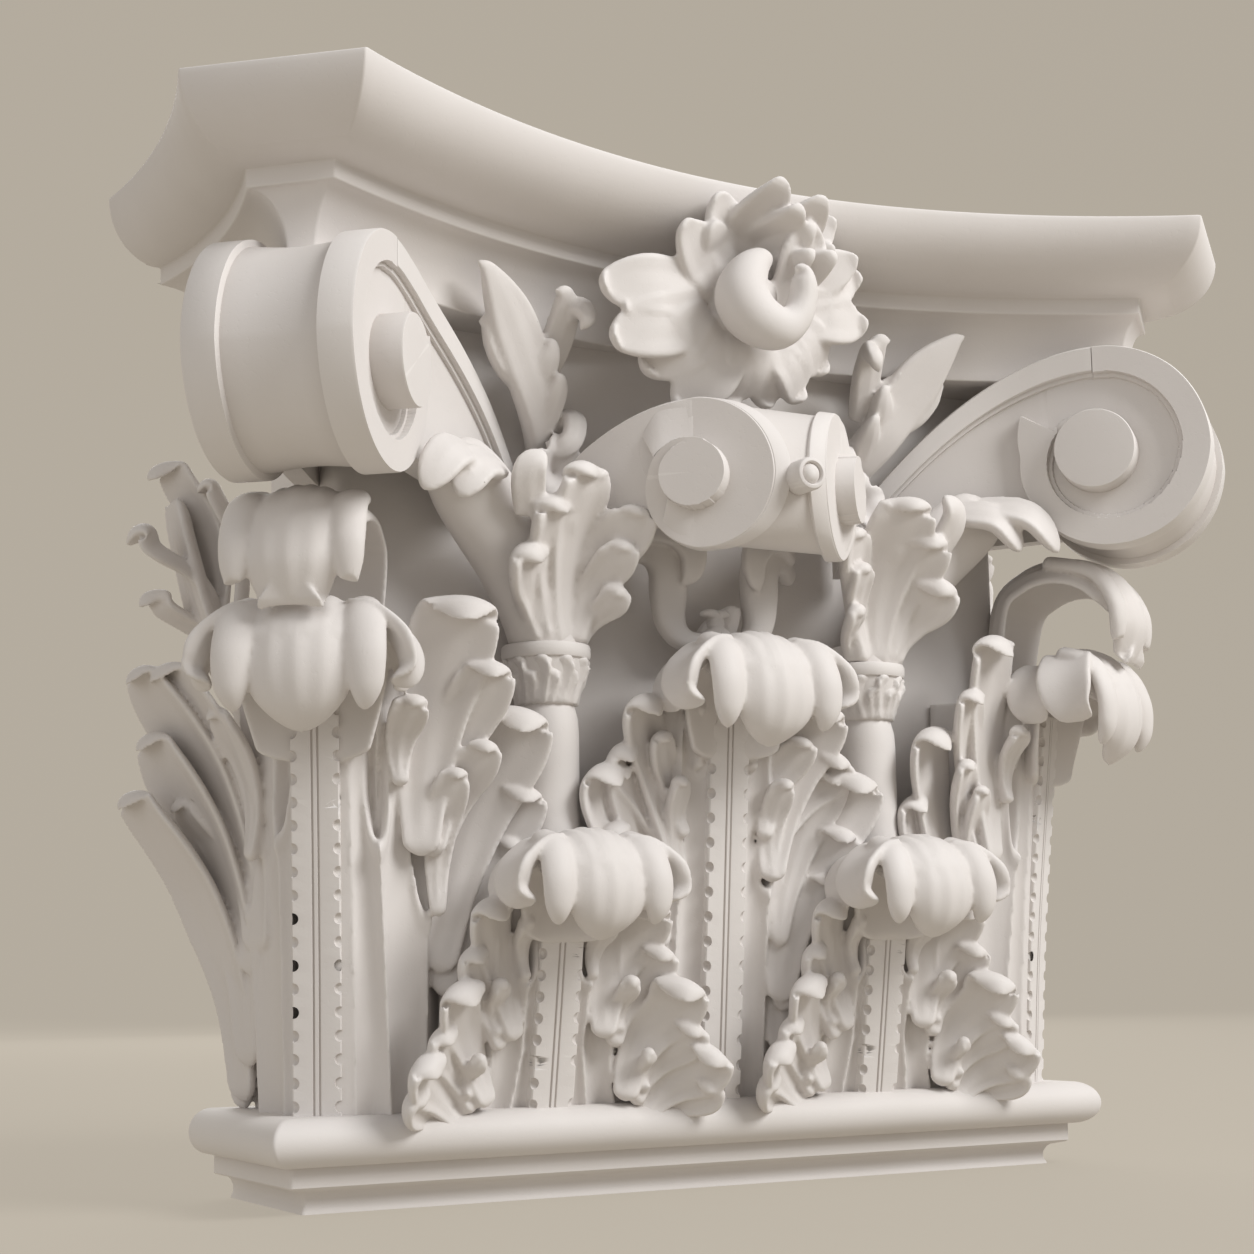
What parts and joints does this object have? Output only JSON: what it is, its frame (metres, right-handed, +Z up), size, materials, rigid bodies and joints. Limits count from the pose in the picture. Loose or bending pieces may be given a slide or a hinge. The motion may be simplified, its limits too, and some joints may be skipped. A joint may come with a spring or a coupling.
{
  "type": "corinthian pilaster capital",
  "caption": "Corinthian pilaster capital carved in one, with acanthus leaves, corner volutes, inner helices, a fleuron and a moulded abacus, cut flat at the wall",
  "frame": {"origin": "middle of the flat underside that sits on the pilaster shaft", "axes": "+Z up, -Y towards the front, +Y towards the wall, X across the width"},
  "size_m": [0.566, 0.2158, 0.4668],
  "materials": {
    "cast_stone": "smooth matte pale warm grey cast stone"
  },
  "bodies": {
    "root": {"capital": "cast_stone"}
  },
  "joints": []
}
